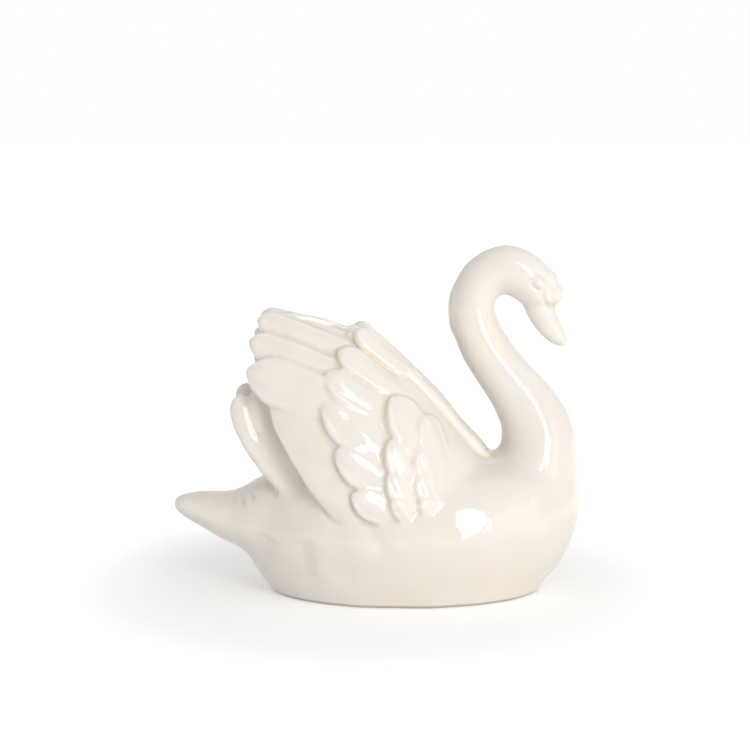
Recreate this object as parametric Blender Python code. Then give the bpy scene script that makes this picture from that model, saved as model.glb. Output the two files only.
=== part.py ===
"""Porcelain swan figurine, cast in one piece on a flat foot.

Metres, +Z up. The beak points along +X, and the origin lies under the middle
of the figurine, on the surface that it stands on. The outlines below are
given in the side view: a place is (x, z), and y is the distance from the
plane of symmetry.
"""

import math

import bmesh
import bpy
from mathutils import Matrix, Vector

# Body, level by level: height, reach of the breast, reach of the rump, half width
BODY_LEVELS = (
    (-0.0015, 0.0388, -0.0248, 0.0196),
    (0.0020, 0.0412, -0.0275, 0.0215),
    (0.0070, 0.0454, -0.0310, 0.0242),
    (0.0130, 0.0483, -0.0332, 0.0263),
    (0.0190, 0.0498, -0.0327, 0.0265),
    (0.0240, 0.0501, -0.0302, 0.0246),
    (0.0280, 0.0495, -0.0260, 0.0215),
    (0.0310, 0.0475, -0.0205, 0.0170),
    (0.0330, 0.0430, -0.0130, 0.0112),
    (0.0338, 0.0360, -0.0060, 0.0050),
)
# Neck and head: x, z, half depth in the side view, half width
NECK_STATIONS = (
    (0.0330, 0.0150, 0.0150, 0.0165),
    (0.0372, 0.0250, 0.0124, 0.0136),
    (0.0395, 0.0340, 0.0101, 0.0108),
    (0.0385, 0.0415, 0.0087, 0.0088),
    (0.0346, 0.0485, 0.0073, 0.0071),
    (0.0297, 0.0548, 0.0066, 0.0063),
    (0.0256, 0.0612, 0.0063, 0.0060),
    (0.0229, 0.0690, 0.0059, 0.0056),
    (0.0250, 0.0760, 0.0058, 0.0054),
    (0.0306, 0.0793, 0.0060, 0.0053),
    (0.0360, 0.0770, 0.0062, 0.0055),
    (0.0392, 0.0727, 0.0053, 0.0050),
    (0.0404, 0.0700, 0.0040, 0.0038),
)
# Beak, from inside the head to its tip: x, z, half depth, half width
BEAK_STATIONS = (
    (0.0375, 0.0722, 0.0042, 0.0040),
    (0.0396, 0.0686, 0.0036, 0.0034),
    (0.0415, 0.0656, 0.0030, 0.0028),
    (0.0435, 0.0630, 0.0024, 0.0025),
    (0.0453, 0.0613, 0.0014, 0.0019),
    (0.0461, 0.0607, 0.0006, 0.0011),
)
KNOB_CENTRE = (0.0426, 0.0730)
KNOB_RADIUS = 0.0029
FOREHEAD_CENTRE = (0.0400, 0.0758)
FOREHEAD_RADIUS = 0.0040
# Oval eye, its long axis dipping towards the beak
EYE_CENTRE = (0.0387, 0.0762)
EYE_HALF_LENGTH = 0.0020
EYE_HALF_HEIGHT = 0.0013
EYE_SLANT = math.radians(52)
EYE_STAND_OUT = 0.0001

# Tail, from inside the body to its tip: x, z, half height, half width
TAIL_STATIONS = (
    (-0.0180, 0.0180, 0.0140, 0.0160),
    (-0.0270, 0.0178, 0.0108, 0.0140),
    (-0.0345, 0.0181, 0.0069, 0.0108),
    (-0.0410, 0.0196, 0.0047, 0.0080),
    (-0.0470, 0.0210, 0.0031, 0.0053),
    (-0.0503, 0.0219, 0.0015, 0.0028),
)

# Outer face of a wing, from the shoulder back to the feather tips:
# x, y at the flank, y that the face bellies out towards, y at the upper edge, z of the upper edge
WING_STATIONS = (
    (0.0300, 0.0203, 0.0165, 0.0050, 0.0292),
    (0.0200, 0.0238, 0.0237, 0.0068, 0.0411),
    (0.0080, 0.0250, 0.0272, 0.0080, 0.0548),
    (-0.0050, 0.0244, 0.0279, 0.0076, 0.0637),
    (-0.0170, 0.0211, 0.0267, 0.0062, 0.0675),
    (-0.0310, 0.0166, 0.0246, 0.0046, 0.0682),
)
WING_FOOT_Z = 0.0160
# The face runs on past the upper edge, to this share of the wing's height
WING_FACE_END = 1.15
WING_TABLE_STEPS = 8
SLOPE_STEP = 0.0005
# The valley between the wings: height and half width of its floor, and the wing's thickness on top
VALLEY_FLOOR_Z = 0.0330
VALLEY_FLOOR_HALF_WIDTH = 0.0030
WING_EDGE_THICKNESS = 0.0028
# Lower edge of the plate that carries the feathers: x, z
WING_PLATE_EDGE = (
    (0.0270, 0.0180),
    (-0.0080, 0.0180),
    (-0.0160, 0.0300),
    (-0.0220, 0.0420),
    (-0.0270, 0.0540),
)
PLATE_RINGS = 28
PLATE_FULLNESS = 0.6

# Rows of feathers, each from the upper edge of the wing down to the flank:
# x and z of the tip, x and z of the root, half width
PANEL_FEATHER = ((-0.0225, 0.0578, -0.0015, 0.0192, 0.0090),)
FLIGHT_FEATHERS = (
    (-0.0288, 0.0672, -0.0030, 0.0600, 0.0027),
    (-0.0306, 0.0622, -0.0050, 0.0548, 0.0033),
    (-0.0310, 0.0556, -0.0060, 0.0478, 0.0054),
)
LONG_COVERTS = (
    (-0.0056, 0.0645, 0.0083, 0.0548, 0.0020),
    (-0.0095, 0.0603, 0.0063, 0.0510, 0.0028),
    (-0.0122, 0.0553, 0.0016, 0.0474, 0.0040),
    (-0.0128, 0.0490, 0.0024, 0.0380, 0.0054),
    (-0.0098, 0.0386, 0.0038, 0.0306, 0.0052),
    (-0.0060, 0.0288, 0.0051, 0.0226, 0.0040),
)
MIDDLE_COVERTS = (
    (0.0030, 0.0500, 0.0128, 0.0358, 0.0046),
    (0.0026, 0.0407, 0.0104, 0.0290, 0.0042),
    (0.0028, 0.0340, 0.0095, 0.0238, 0.0036),
    (0.0036, 0.0285, 0.0092, 0.0205, 0.0026),
)
SMALL_COVERTS = (
    (0.0106, 0.0456, 0.0166, 0.0330, 0.0036),
    (0.0096, 0.0390, 0.0146, 0.0286, 0.0034),
    (0.0097, 0.0330, 0.0142, 0.0236, 0.0028),
    (0.0103, 0.0282, 0.0142, 0.0210, 0.0020),
)
FEATHER_LEAN = math.radians(6)
# Each row: its feathers, how far it stands over the wing's face, how much further each feather
# stands than the one above it, rise of the tips, lean towards the lower edge, fullness of the edges
FEATHER_ROWS = (
    (PANEL_FEATHER, -0.0002, 0.0, 0.0, 0.0, 0.62),
    (FLIGHT_FEATHERS, 0.0, 0.00045, 0.0010, -FEATHER_LEAN, 0.62),
    (LONG_COVERTS, 0.0005, -0.0001, 0.0010, FEATHER_LEAN, 0.6),
    (MIDDLE_COVERTS, 0.0006, -0.0001, 0.0006, FEATHER_LEAN, 0.65),
    (SMALL_COVERTS, 0.0005, -0.0001, 0.0003, FEATHER_LEAN, 0.7),
)
FEATHER_HALF_THICKNESS = 0.0014
FEATHER_ROOT_LIFT = -0.0013
# Share of the half width at the root, share of the length over which the feather widens,
# length of the tip in half widths, the most of the length that the tip takes, and its sharpness
FEATHER_ROOT_SHARE = 0.6
FEATHER_WIDENING = 0.6
FEATHER_TIP_ROUNDING = 1.6
FEATHER_TIP_MOST = 0.6
FEATHER_TIP_POWER = 0.72
FEATHER_TIP_THICKNESS = 0.25
FEATHER_STEPS = 14
FEATHER_LAST_RING = 0.998

# Rolled upper edge of a wing, from the shoulder back to the long coverts
EDGE_ROLL_FRONT_X = 0.0270
EDGE_ROLL_REAR_X = -0.0070
EDGE_ROLL_RADIUS = 0.0022
EDGE_ROLL_REAR_RADIUS = 0.0012
EDGE_ROLL_RINGS = 24

# Folded feathers between the wings, along the back: tip, bends and root as x, y, z
INNER_FEATHER_PATH = (
    (-0.0318, 0.0085, 0.0500),
    (-0.0331, 0.0090, 0.0468),
    (-0.0311, 0.0100, 0.0402),
    (-0.0260, 0.0112, 0.0320),
    (-0.0183, 0.0120, 0.0250),
    (-0.0125, 0.0115, 0.0215),
)
INNER_FEATHER_COUNT = 3
INNER_FEATHER_STEP = (0.0042, -0.0004, 0.0006)
INNER_FEATHER_HALF_WIDTH = 0.0026
INNER_FEATHER_HALF_THICKNESS = 0.0018
INNER_FEATHER_STEPS = 6
# Size of the first ring as a share, squared, and the length of the round tip in half widths
INNER_FEATHER_TIP_SHARE = 0.05
INNER_FEATHER_TIP_ROUNDING = 1.5

FOOT_Z = 0.0
RING_SIDES = 40
FEATHER_SIDES = 16
STEPS_BETWEEN_STATIONS = 4
TRUNK_VOXEL = 0.0008
TRUNK_SMOOTH_PASSES = 26
SMOOTH_FACTOR = 0.5
# The trunk is softened in full below the lower height and ahead of the wings,
# and not at all above the upper height
SOFT_WING_FRONT_X = 0.0180
SOFT_LOW_Z = 0.0240
SOFT_HIGH_Z = 0.0400
VOXEL = 0.00055
SMOOTH_PASSES = 3
MOST_TRIANGLES = 11600
BALL_SUBDIVISIONS = 3
CUT_TOLERANCE = 1e-7
SHARP_ANGLE = math.radians(70)

GLAZE_COLOUR = (0.87, 0.82, 0.74, 1)
GLAZE_ROUGHNESS = 0.12


def clear_scene():
    for obj in list(bpy.data.objects):
        bpy.data.objects.remove(obj, do_unlink=True)


def curve_through(stations, steps):
    """Points of a smooth curve through the stations, with this many steps between each two."""
    rows = [Vector(row) for row in stations]
    rows = [rows[0] * 2 - rows[1]] + rows + [rows[-1] * 2 - rows[-2]]
    points = []
    for i in range(1, len(rows) - 2):
        before, start, end, after = rows[i - 1 : i + 3]
        for step in range(steps):
            t = step / steps
            points.append(
                (
                    start * 2
                    + (end - before) * t
                    + (before * 2 - start * 5 + end * 4 - after) * t**2
                    + (start * 3 - before - end * 3 + after) * t**3
                )
                / 2
            )
    points.append(rows[-2])
    return points


def value_at(stations, x):
    """The stations' other values at x, on the straight runs between them."""
    ordered = sorted(stations)
    x = min(max(x, ordered[0][0]), ordered[-1][0])
    for low, high in zip(ordered, ordered[1:]):
        if x <= high[0]:
            t = (x - low[0]) / (high[0] - low[0])
            return [a + (b - a) * t for a, b in zip(low[1:], high[1:])]
    return list(ordered[-1][1:])


def wing_table():
    return [tuple(row) for row in curve_through(WING_STATIONS, WING_TABLE_STEPS)]


WING_TABLE = wing_table()


def wing_face_y(x, z):
    """Distance of the wing's outer face from the plane of symmetry."""
    flank, belly, edge, edge_z = value_at(WING_TABLE, x)
    s = min(max((z - WING_FOOT_Z) / (edge_z - WING_FOOT_Z), 0.0), WING_FACE_END)
    return flank * (1 - s) ** 2 + 2 * belly * s * (1 - s) + edge * s**2


def wing_point(x, z):
    return Vector((x, wing_face_y(x, z), z))


def wing_normal(x, z):
    along_x = wing_point(x + SLOPE_STEP, z) - wing_point(x - SLOPE_STEP, z)
    along_z = wing_point(x, z + SLOPE_STEP) - wing_point(x, z - SLOPE_STEP)
    normal = along_x.cross(along_z).normalized()
    return normal if normal.y > 0 else -normal


def valley_half_width(x, z):
    """Distance of the wing's inner face from the plane of symmetry, wider towards the upper edge."""
    edge, edge_z = value_at(WING_TABLE, x)[2:]
    rise = min(max((z - VALLEY_FLOOR_Z) / max(edge_z - VALLEY_FLOOR_Z, VALLEY_FLOOR_HALF_WIDTH), 0), 1)
    top_half_width = edge - WING_EDGE_THICKNESS
    return VALLEY_FLOOR_HALF_WIDTH + (top_half_width - VALLEY_FLOOR_HALF_WIDTH) * rise


def boxed(share, fullness):
    """Pushes a circle's coordinate outwards, so that a ring has fuller corners below 1."""
    return math.copysign(abs(share) ** fullness, share)


def bridge_rings(bm, rings):
    """Skins a row of closed rings and caps both ends."""
    for first, second in zip(rings, rings[1:]):
        bmesh.ops.bridge_loops(bm, edges=ring_edges(first) + ring_edges(second))
    for ring in (rings[0], rings[-1]):
        bmesh.ops.contextual_create(bm, geom=ring)


def ring_edges(ring):
    wanted = set(ring)
    return [edge for edge in {e for v in ring for e in v.link_edges} if set(edge.verts) <= wanted]


def add_ring(bm, centre, across, up, half_across, half_up, sides):
    """An elliptical ring with these two half axes."""
    frame = Matrix((across, up, across.cross(up))).transposed().to_4x4()
    place = Matrix.Translation(centre) @ frame @ Matrix.Diagonal((half_across, half_up, 1, 1))
    return bmesh.ops.create_circle(bm, segments=sides, radius=1, matrix=place)["verts"]


def merge_into(bm, piece, mirrored=False):
    """Adds a closed piece to the model, and its mirror image if it belongs on both sides."""
    bmesh.ops.recalc_face_normals(piece, faces=piece.faces)
    sides = [1, -1] if mirrored else [1]
    for side in sides:
        mesh = bpy.data.meshes.new("piece")
        piece.to_mesh(mesh)
        mesh.transform(Matrix.Diagonal((1, side, 1, 1)))
        if side < 0:
            mesh.flip_normals()
        bm.from_mesh(mesh)
        bpy.data.meshes.remove(mesh)
    piece.free()


def add_body(bm):
    """The hull-shaped body, as level rings with a longer breast than rump."""
    piece = bmesh.new()
    rings = []
    for height, breast, rump, half_width in curve_through(BODY_LEVELS, STEPS_BETWEEN_STATIONS):
        middle = (breast + rump) / 2
        ring = add_ring(
            piece,
            Vector((middle, 0, height)),
            Vector((1, 0, 0)),
            Vector((0, 1, 0)),
            (breast - rump) / 2,
            half_width,
            RING_SIDES * 2,
        )
        rings.append(ring)
    bridge_rings(piece, rings)
    merge_into(bm, piece)


def add_sweep(bm, stations):
    """A round limb in the plane of symmetry, along stations of x, z, half depth and half width."""
    piece = bmesh.new()
    rows = curve_through(stations, STEPS_BETWEEN_STATIONS)
    rings = []
    for i, (x, z, depth, width) in enumerate(rows):
        before = rows[max(i - 1, 0)]
        after = rows[min(i + 1, len(rows) - 1)]
        along = Vector((after[0] - before[0], 0, after[1] - before[1])).normalized()
        across = Vector((0, 1, 0))
        rings.append(
            add_ring(piece, Vector((x, 0, z)), across, across.cross(along), width, depth, RING_SIDES)
        )
    bridge_rings(piece, rings)
    merge_into(bm, piece)


def add_pellet(bm, centre, half_length, half_height, slant=0.0, mirrored=False):
    """A round or oval pellet, its long axis dipping towards the beak by the slant."""
    piece = bmesh.new()
    turn = Matrix.Rotation(slant, 4, "Y")
    place = Matrix.Translation(centre) @ turn @ Matrix.Diagonal((half_length, half_height, half_height, 1))
    bmesh.ops.create_icosphere(piece, subdivisions=BALL_SUBDIVISIONS, radius=1, matrix=place)
    merge_into(bm, piece, mirrored)


def head_half_width():
    """Half width of the head where the eyes sit."""
    eye = Vector(EYE_CENTRE)
    nearest = min(NECK_STATIONS, key=lambda row: (Vector(row[:2]) - eye).length)
    return nearest[3]


def add_face(bm):
    """The beak, the knob over it, the forehead and the two eyes."""
    add_sweep(bm, BEAK_STATIONS)
    for (x, z), radius in ((KNOB_CENTRE, KNOB_RADIUS), (FOREHEAD_CENTRE, FOREHEAD_RADIUS)):
        add_pellet(bm, Vector((x, 0, z)), radius, radius)
    eye_y = head_half_width() - EYE_HALF_HEIGHT + EYE_STAND_OUT
    eye = Vector((EYE_CENTRE[0], eye_y, EYE_CENTRE[1]))
    add_pellet(bm, eye, EYE_HALF_LENGTH, EYE_HALF_HEIGHT, EYE_SLANT, mirrored=True)


def add_wing_plate(bm):
    """The curved plate under the feathers, as rings bent to the wing's face."""
    piece = bmesh.new()
    front = WING_PLATE_EDGE[0][0]
    rear = WING_PLATE_EDGE[-1][0]
    rings = []
    for i in range(PLATE_RINGS + 1):
        x = front + (rear - front) * i / PLATE_RINGS
        top = value_at(WING_TABLE, x)[3]
        bottom = value_at(WING_PLATE_EDGE, x)[0]
        half_height = (top - bottom) / 2
        ring = bmesh.ops.create_circle(piece, segments=RING_SIDES, radius=1)["verts"]
        for vert in ring:
            z = (top + bottom) / 2 + half_height * boxed(vert.co.y, PLATE_FULLNESS)
            outer = wing_face_y(x, z)
            inner = min(valley_half_width(x, z), outer - WING_EDGE_THICKNESS / 2)
            y = (outer + inner) / 2 + (outer - inner) / 2 * boxed(vert.co.x, PLATE_FULLNESS)
            vert.co = Vector((x, y, z))
        rings.append(ring)
    bridge_rings(piece, rings)
    merge_into(bm, piece, mirrored=True)


def feather_outline(t, half_width, length):
    """Half width along a feather: narrow at the root, full before a leaf-shaped tip."""
    round_part = min(half_width * FEATHER_TIP_ROUNDING / length, FEATHER_TIP_MOST)
    widening = math.sin(math.pi / 2 * min(t / FEATHER_WIDENING, 1.0))
    width = half_width * (FEATHER_ROOT_SHARE + (1 - FEATHER_ROOT_SHARE) * widening)
    u = max((t - 1 + round_part) / round_part, 0.0)
    return width * (1 - u * u) ** FEATHER_TIP_POWER


def add_feather(bm, tip, root, half_width, lift, tip_rise, lean, fullness):
    """One feather bent to the wing's face, its tip raised over the next one."""
    piece = bmesh.new()
    spine = Vector(tip) - Vector(root)
    across = Vector((spine.y, -spine.x)).normalized()
    rings = []
    for i in range(FEATHER_STEPS + 1):
        t = min(math.sin(math.pi / 2 * i / FEATHER_STEPS), FEATHER_LAST_RING)
        place = Vector(root) + spine * t
        width = feather_outline(t, half_width, spine.length)
        thickness = FEATHER_HALF_THICKNESS * min(1.0, FEATHER_TIP_THICKNESS + width / half_width)
        sink = FEATHER_ROOT_LIFT * (1 - t) - FEATHER_HALF_THICKNESS / 2
        rise = lift + tip_rise * t + sink
        ring = bmesh.ops.create_circle(piece, segments=FEATHER_SIDES, radius=1)["verts"]
        for vert in ring:
            aside = width * boxed(vert.co.x, fullness)
            x, z = place + across * aside
            height = rise - aside * math.tan(lean) + thickness * boxed(vert.co.y, fullness)
            vert.co = wing_point(x, z) + wing_normal(x, z) * height
        rings.append(ring)
    bridge_rings(piece, rings)
    merge_into(bm, piece, mirrored=True)


def add_edge_rolls(bm):
    """The rounded upper edges that the feathers start under."""
    piece = bmesh.new()
    across = Vector((0, 1, 0))
    rings = []
    for i in range(EDGE_ROLL_RINGS + 1):
        share = i / EDGE_ROLL_RINGS
        x = EDGE_ROLL_FRONT_X + (EDGE_ROLL_REAR_X - EDGE_ROLL_FRONT_X) * share
        radius = EDGE_ROLL_RADIUS + (EDGE_ROLL_REAR_RADIUS - EDGE_ROLL_RADIUS) * share
        edge_y, edge_z = value_at(WING_TABLE, x)[2:]
        centre = Vector((x, edge_y - radius / 2, edge_z - radius / 2))
        climb = value_at(WING_TABLE, x - SLOPE_STEP)[3] - value_at(WING_TABLE, x + SLOPE_STEP)[3]
        along = Vector((-2 * SLOPE_STEP, 0, climb)).normalized()
        rings.append(add_ring(piece, centre, across, across.cross(along), radius, radius, FEATHER_SIDES))
    bridge_rings(piece, rings)
    merge_into(bm, piece, mirrored=True)


def add_feather_rows(bm):
    """All rows on both wings, each row lying over the ends of the one behind it."""
    for feathers, row_lift, stack, tip_rise, lean, fullness in FEATHER_ROWS:
        for number, (tip_x, tip_z, root_x, root_z, half_width) in enumerate(feathers):
            lift = row_lift + stack * number
            tip = (tip_x, tip_z)
            root = (root_x, root_z)
            add_feather(bm, tip, root, half_width, lift, tip_rise, lean, fullness)


def add_inner_feathers(bm):
    """The folded feathers between the wings, side by side along one curve."""
    tip_length = INNER_FEATHER_HALF_WIDTH * INNER_FEATHER_TIP_ROUNDING
    for number in range(INNER_FEATHER_COUNT):
        shift = Vector(INNER_FEATHER_STEP) * number
        rows = [row + shift for row in curve_through(INNER_FEATHER_PATH, INNER_FEATHER_STEPS)]
        piece = bmesh.new()
        rings = []
        for i, centre in enumerate(rows):
            along = (rows[max(i - 1, 0)] - rows[min(i + 1, len(rows) - 1)]).normalized()
            side = Vector((0, 1, 0))
            side = (side - along * side.dot(along)).normalized()
            from_tip = (centre - rows[0]).length
            share = math.sqrt(min(1.0, INNER_FEATHER_TIP_SHARE + from_tip / tip_length))
            thickness = INNER_FEATHER_HALF_THICKNESS * share
            width = INNER_FEATHER_HALF_WIDTH * share
            rings.append(
                add_ring(piece, centre, side, side.cross(along), thickness, width, FEATHER_SIDES)
            )
        bridge_rings(piece, rings)
        merge_into(bm, piece, mirrored=True)


def fuse(bm, voxel, smooth_passes, most_triangles=None):
    """Joins overlapping pieces into one skin with soft hollows, as the glaze leaves them."""
    mesh = bpy.data.meshes.new("pieces")
    bm.to_mesh(mesh)
    bm.free()
    source = bpy.data.objects.new("pieces", mesh)
    bpy.context.collection.objects.link(source)
    remesh = source.modifiers.new("skin", "REMESH")
    remesh.mode = "VOXEL"
    remesh.voxel_size = voxel
    smooth = source.modifiers.new("glaze", "SMOOTH")
    smooth.iterations = smooth_passes
    smooth.factor = SMOOTH_FACTOR
    bpy.context.view_layer.update()
    if most_triangles:
        thin = source.modifiers.new("thin", "DECIMATE")
        thin.use_collapse_triangulate = True
        thin.ratio = min(1.0, most_triangles / count_triangles(source))
        bpy.context.view_layer.update()
    fused = bpy.data.meshes.new_from_object(
        source.evaluated_get(bpy.context.evaluated_depsgraph_get())
    )
    bpy.data.objects.remove(source, do_unlink=True)
    bpy.data.meshes.remove(mesh)
    return fused


def count_triangles(obj):
    evaluated = obj.evaluated_get(bpy.context.evaluated_depsgraph_get())
    return sum(len(face.vertices) - 2 for face in evaluated.data.polygons)


def keep_outer_skin(bm):
    """Drops the walls of air pockets that the joined pieces closed in."""
    groups = []
    left = set(bm.verts)
    while left:
        stack = [left.pop()]
        group = []
        while stack:
            vert = stack.pop()
            group.append(vert)
            for edge in vert.link_edges:
                other = edge.other_vert(vert)
                if other in left:
                    left.remove(other)
                    stack.append(other)
        groups.append(group)
    groups.sort(key=len)
    for group in groups[:-1]:
        bmesh.ops.delete(bm, geom=group, context="VERTS")


def cut_foot(bm):
    """Cuts the foot flat, where the figurine stands."""
    bmesh.ops.bisect_plane(
        bm,
        geom=bm.verts[:] + bm.edges[:] + bm.faces[:],
        dist=CUT_TOLERANCE,
        plane_co=(0, 0, FOOT_Z),
        plane_no=(0, 0, -1),
        clear_outer=True,
    )
    rim = [edge for edge in bm.edges if edge.is_boundary]
    foot = bmesh.ops.contextual_create(bm, geom=rim)["faces"]
    bmesh.ops.triangulate(bm, faces=foot)


def centre_on_origin(bm):
    """Puts the origin under the middle of the box around the figurine."""
    xs = [vert.co.x for vert in bm.verts]
    bmesh.ops.translate(bm, verts=bm.verts, vec=(-(min(xs) + max(xs)) / 2, 0, 0))


def glazed_porcelain():
    material = bpy.data.materials.new("glazed_porcelain")
    material.use_nodes = True
    shader = material.node_tree.nodes["Principled BSDF"]
    shader.inputs["Base Color"].default_value = GLAZE_COLOUR
    shader.inputs["Roughness"].default_value = GLAZE_ROUGHNESS
    shader.inputs["Metallic"].default_value = 0.0
    return material


def softness(place):
    """1 where the wing flows into the body, down to 0 on the raised part of the wing."""
    on_wing = place.x < SOFT_WING_FRONT_X
    rise = (place.z - SOFT_LOW_Z) / (SOFT_HIGH_Z - SOFT_LOW_Z)
    return 1.0 - min(max(rise, 0.0), 1.0) if on_wing else 1.0


def soften_trunk(bm):
    """Melts the neck, the tail and the foot of the wings into the body."""
    for number in range(TRUNK_SMOOTH_PASSES):
        share = number / TRUNK_SMOOTH_PASSES
        soft = [vert for vert in bm.verts if softness(vert.co) > share]
        bmesh.ops.smooth_vert(
            bm, verts=soft, factor=SMOOTH_FACTOR, use_axis_x=True, use_axis_y=True, use_axis_z=True
        )


def build_swan():
    trunk = bmesh.new()
    add_body(trunk)
    add_sweep(trunk, NECK_STATIONS)
    add_sweep(trunk, TAIL_STATIONS)
    add_wing_plate(trunk)
    add_inner_feathers(trunk)
    trunk_mesh = fuse(trunk, TRUNK_VOXEL, 0)
    trunk = bmesh.new()
    trunk.from_mesh(trunk_mesh)
    soften_trunk(trunk)
    trunk.to_mesh(trunk_mesh)
    trunk.free()
    pieces = bmesh.new()
    pieces.from_mesh(trunk_mesh)
    add_face(pieces)
    add_edge_rolls(pieces)
    add_feather_rows(pieces)
    mesh = fuse(pieces, VOXEL, SMOOTH_PASSES, MOST_TRIANGLES)
    bm = bmesh.new()
    bm.from_mesh(mesh)
    keep_outer_skin(bm)
    cut_foot(bm)
    centre_on_origin(bm)
    bm.to_mesh(mesh)
    bm.free()
    mesh.materials.clear()
    mesh.materials.append(glazed_porcelain())
    mesh.shade_smooth()
    mesh.set_sharp_from_angle(angle=SHARP_ANGLE)
    swan = bpy.data.objects.new("swan_figurine", mesh)
    bpy.context.collection.objects.link(swan)
    return swan


clear_scene()
build_swan()
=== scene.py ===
"""Porcelain swan figurine in a small studio: the cast form in full detail, its glaze and its light.

Metres, +Z up, the beak along +X, the plane of symmetry at y = 0, and places in the side view as
(x, z). The form is first laid up as overlapping closed pieces of clay, which are melted into one
skin. Fine lines are then carved into it, and its hollows and ridges are marked, so that the glaze
is painted darker in the hollows, partly as pooled glaze and partly as painted shade, and lighter
on the ridges, partly as thinner glaze and partly as painted light.
"""

import logging
import math
from collections.abc import Callable, Iterable, Sequence
from dataclasses import dataclass, field
from enum import Enum

import bmesh
import bpy
from mathutils import Matrix, Vector, noise


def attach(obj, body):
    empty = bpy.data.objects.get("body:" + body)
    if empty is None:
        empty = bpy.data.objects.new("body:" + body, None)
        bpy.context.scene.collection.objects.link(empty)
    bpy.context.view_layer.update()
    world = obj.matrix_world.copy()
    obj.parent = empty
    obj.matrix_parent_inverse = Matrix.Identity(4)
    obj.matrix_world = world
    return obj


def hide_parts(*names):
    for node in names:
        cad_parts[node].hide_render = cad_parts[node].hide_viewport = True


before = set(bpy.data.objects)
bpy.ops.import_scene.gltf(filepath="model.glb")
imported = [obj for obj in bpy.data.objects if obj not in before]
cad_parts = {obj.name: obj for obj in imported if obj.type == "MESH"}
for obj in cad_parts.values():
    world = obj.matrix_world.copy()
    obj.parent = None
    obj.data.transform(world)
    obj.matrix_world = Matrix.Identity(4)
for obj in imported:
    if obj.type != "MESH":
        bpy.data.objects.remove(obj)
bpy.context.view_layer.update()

LOG = logging.getLogger("swan")

Rows = Sequence[Sequence[float]]
Pair = tuple[float, float]
Triple = tuple[float, float, float]
Colour = tuple[float, float, float, float]
Ring = list[bmesh.types.BMVert]


class Sides(Enum):
    """Where a piece of clay goes: once in the middle, or on both sides as mirror images."""

    MIDDLE = (1,)
    BOTH = (1, -1)


# Curves and rings


def curve_through(stations: Rows, steps: int) -> list[Vector]:
    """Follows a smooth curve through the stations.

    Args:
        stations: values of any length, one row for each station.
        steps: how many points to take between two stations.

    Returns:
        The points on the curve, the first and the last station included.
    """
    rows = [Vector(row) for row in stations]
    rows = [rows[0] * 2 - rows[1]] + rows + [rows[-1] * 2 - rows[-2]]
    points = []
    for i in range(1, len(rows) - 2):
        before, start, end, after = rows[i - 1 : i + 3]
        for step in range(steps):
            t = step / steps
            slope = (end - before) * t
            bend = (before * 2 - start * 5 + end * 4 - after) * t**2
            twist = (start * 3 - before - end * 3 + after) * t**3
            points.append((start * 2 + slope + bend + twist) / 2)
    points.append(rows[-2])
    return points


def value_at(stations: Rows, x: float) -> list[float]:
    """Reads the stations' other values at x, on the straight runs between them.

    Args:
        stations: rows that start with an x, in rising order.
        x: where to read. Outside the stations it is the nearest one.

    Returns:
        The values after the first.
    """
    x = min(max(x, stations[0][0]), stations[-1][0])
    for low, high in zip(stations, stations[1:]):
        if x <= high[0]:
            t = (x - low[0]) / (high[0] - low[0])
            return [a + (b - a) * t for a, b in zip(low[1:], high[1:])]
    return list(stations[-1][1:])


def boxed(share: float, fullness: float) -> float:
    """Pushes a circle's coordinate outwards, so that a ring has fuller corners below 1."""
    return math.copysign(abs(share) ** fullness, share)


def smooth_step(share: float) -> float:
    """Eases a share from 0 to 1, with flat ends."""
    t = min(max(share, 0.0), 1.0)
    return t * t * (3 - 2 * t)


def ring_edges(ring: Ring) -> list[bmesh.types.BMEdge]:
    """Lists the edges whose two ends are both in the ring."""
    wanted = set(ring)
    edges = {edge for vert in ring for edge in vert.link_edges}
    return [edge for edge in edges if set(edge.verts) <= wanted]


def add_ring(
    piece: bmesh.types.BMesh,
    centre: Vector,
    axes: tuple[Vector, Vector],
    halves: Pair,
    sides: int,
) -> Ring:
    """Adds an elliptical ring.

    Args:
        piece: the mesh that gets it.
        centre: its middle.
        axes: the unit directions of its two axes.
        halves: its two half axes.
        sides: how many sides it has.

    Returns:
        Its vertices.
    """
    turn = Matrix((*axes, axes[0].cross(axes[1]))).transposed().to_4x4()
    place = Matrix.Translation(centre) @ turn @ Matrix.Diagonal((*halves, 1, 1))
    return bmesh.ops.create_circle(piece, segments=sides, radius=1, matrix=place)["verts"]


# Objects


def add_object(name: str, data: bpy.types.ID) -> bpy.types.Object:
    """Makes an object of mesh, lamp or camera data and links it to the scene."""
    body = bpy.data.objects.new(name, data)
    bpy.context.scene.collection.objects.link(body)
    return body


def finish_mesh(name: str, work: bmesh.types.BMesh) -> bpy.types.Mesh:
    """Turns a working mesh into a lasting one and frees it."""
    mesh = bpy.data.meshes.new(name)
    work.to_mesh(mesh)
    work.free()
    return mesh


def apply_modifiers(source: bpy.types.Object) -> bpy.types.Mesh:
    """Turns an object with modifiers into a plain mesh.

    Args:
        source: the object, which is removed together with its mesh.

    Returns:
        The new mesh.
    """
    bpy.context.view_layer.update()
    graph = bpy.context.evaluated_depsgraph_get()
    result = bpy.data.meshes.new_from_object(source.evaluated_get(graph))
    mesh = source.data
    bpy.data.objects.remove(source, do_unlink=True)
    bpy.data.meshes.remove(mesh)
    return result


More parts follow.
